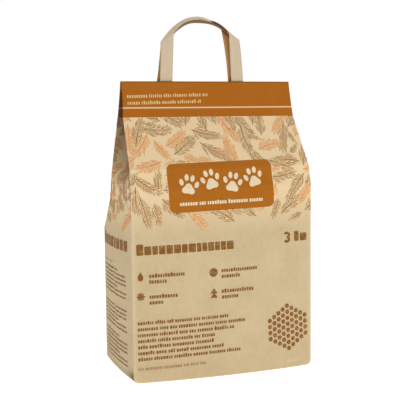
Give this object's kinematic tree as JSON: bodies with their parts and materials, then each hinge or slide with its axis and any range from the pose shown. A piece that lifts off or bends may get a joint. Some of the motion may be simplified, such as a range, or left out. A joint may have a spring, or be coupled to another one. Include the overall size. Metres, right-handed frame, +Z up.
{
  "type": "cat litter bag",
  "caption": "Filled block-bottom kraft paper bag of cat litter with tucked side gussets, closed top seam and flat folded paper carrying handles.",
  "frame": {"origin": "middle of the flat base on which the bag stands", "axes": "+Z up, X along the width of the front panel, the front panel faces -Y"},
  "size_m": [0.21, 0.1245, 0.378],
  "materials": {
    "kraft_paper": "matt",
    "handle_paper": "matt"
  },
  "bodies": {
    "root": {"filled_bag": "kraft_paper", "front_handle": "handle_paper", "back_handle": "handle_paper"}
  },
  "joints": []
}
